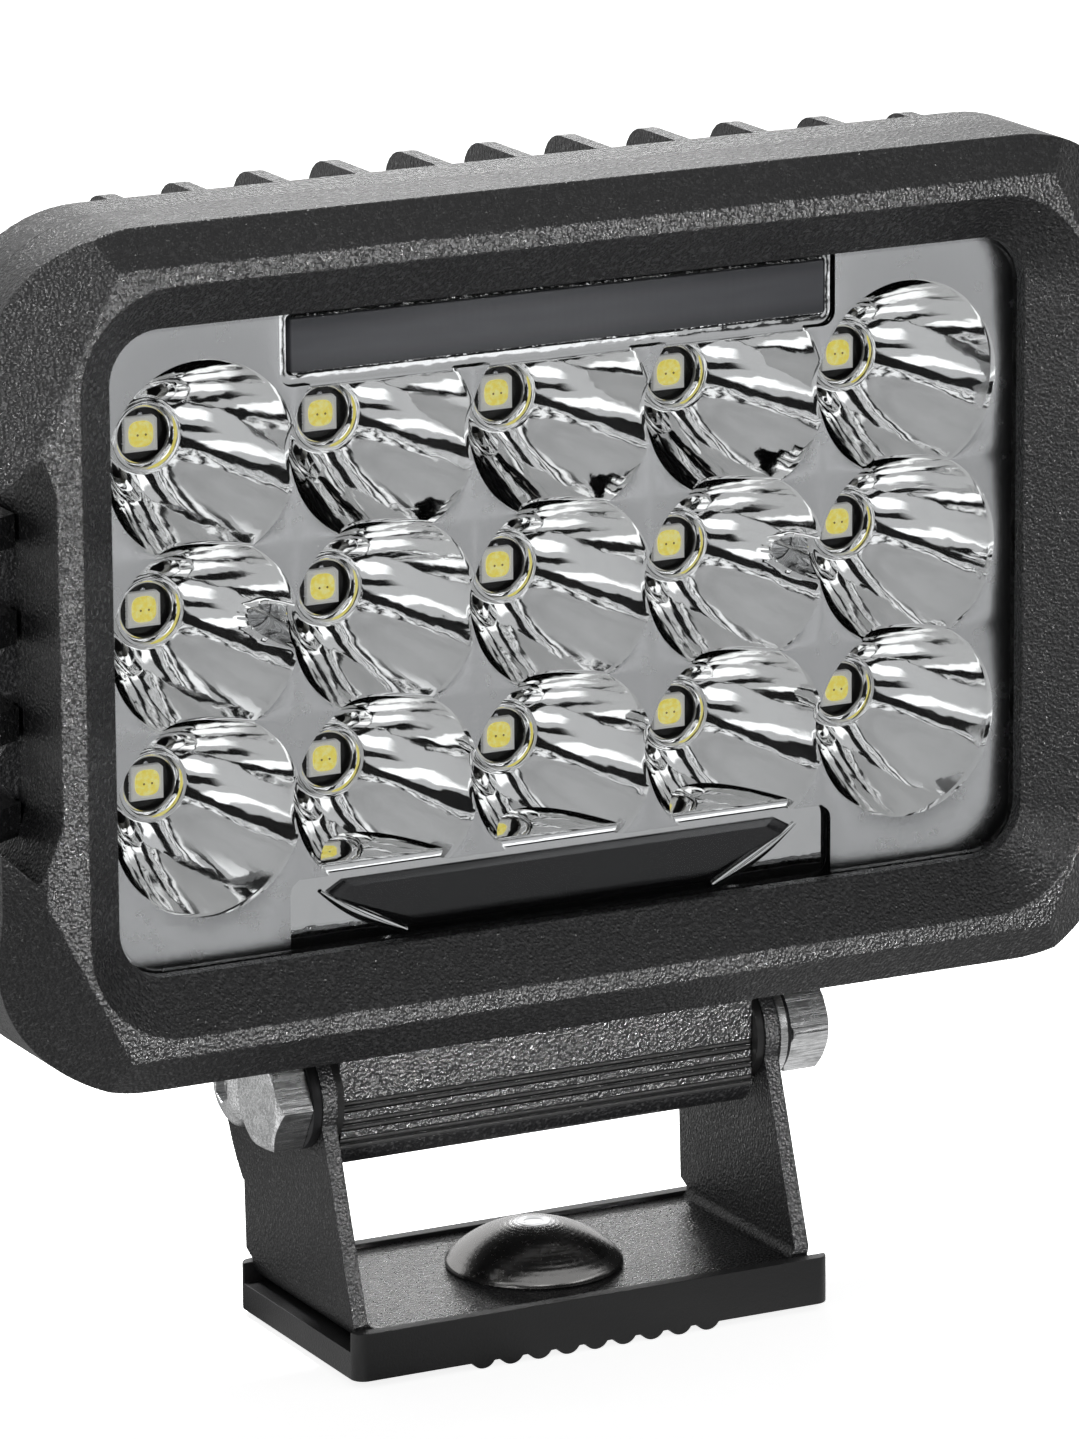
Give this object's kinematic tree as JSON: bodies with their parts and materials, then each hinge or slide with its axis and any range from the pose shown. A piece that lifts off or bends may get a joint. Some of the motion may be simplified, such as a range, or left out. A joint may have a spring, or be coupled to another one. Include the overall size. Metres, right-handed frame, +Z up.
{
  "type": "fog light",
  "caption": "Rectangular LED fog light with a rounded bezel, chrome cup reflectors, a finned die-cast housing and a tilting U bracket on a rubber pad.",
  "frame": {"origin": "axis of the mounting bolt at the plane of the pad's underside, midway between the bracket's ears", "axes": "+Z up, out of the top of the lamp; -Y the way the light shines; +X to the lamp's right hand end as seen from behind; the mounting bolt's free end points to -Z"},
  "size_m": [0.18, 0.0583, 0.1741],
  "materials": {
    "black_casting": "black powder coat on die-cast aluminium",
    "clear_lens": "clear polycarbonate",
    "black_rubber": "matt silicone rubber",
    "chrome_plating": "vacuum-metallised mirror on moulded plastic",
    "gloss_black": "gloss black moulding",
    "smoked_guide": "smoked translucent plastic",
    "circuit_board": "black solder mask on an aluminium-core board",
    "led_ceramic": "grey-white ceramic package",
    "phosphor": "yellow phosphor",
    "ferrite": "dark grey ferrite",
    "capacitor_can": "bare aluminium can",
    "white_plastic": "natural nylon",
    "zinc_steel": "bright zinc plate with machining lines",
    "thermal_pad": "grey gap-filling silicone",
    "black_steel_screw": "black oxide",
    "black_nylon": "black nylon",
    "black_bracket": "black powder coat on steel",
    "pad_rubber": "satin black rubber",
    "dark_nickel": "dark polished plate"
  },
  "bodies": {
    "bracket_base": {"bracket": "black_bracket", "base_pad": "pad_rubber", "mounting_bolt": "dark_nickel", "pivot_bolt": "zinc_steel", "head_lock_washer": "black_steel_screw", "friction_washers": "black_nylon", "nut_flat_washer": "zinc_steel", "nut_lock_washer": "black_steel_screw", "pivot_nut": "zinc_steel"},
    "lamp_head": {"front_bezel": "black_casting", "rear_housing": "black_casting", "lens": "clear_lens", "lens_gasket": "black_rubber", "reflector": "chrome_plating", "nameplate": "gloss_black", "position_light_guide": "smoked_guide", "position_light_board": "circuit_board", "position_light_leds": "led_ceramic", "led_board": "circuit_board", "led_packages": "led_ceramic", "led_phosphors": "phosphor", "driver_inductors": "ferrite", "driver_capacitors": "capacitor_can", "board_connector": "white_plastic", "board_screws": "zinc_steel", "reflector_screws": "zinc_steel", "thermal_pad": "thermal_pad", "housing_seal": "black_rubber", "bezel_screws": "black_steel_screw", "vent_plug": "black_nylon", "gland_body": "black_nylon", "gland_nut": "black_nylon", "gland_seal": "black_rubber", "lock_screws": "zinc_steel"}
  },
  "joints": [
    {"name": "tilt", "type": "hinge", "parent": "bracket_base", "child": "lamp_head", "pos_m": [0, 0.0008, 0.0376], "axis": [1, 0, 0], "range_deg": [-8, 34]}
  ]
}
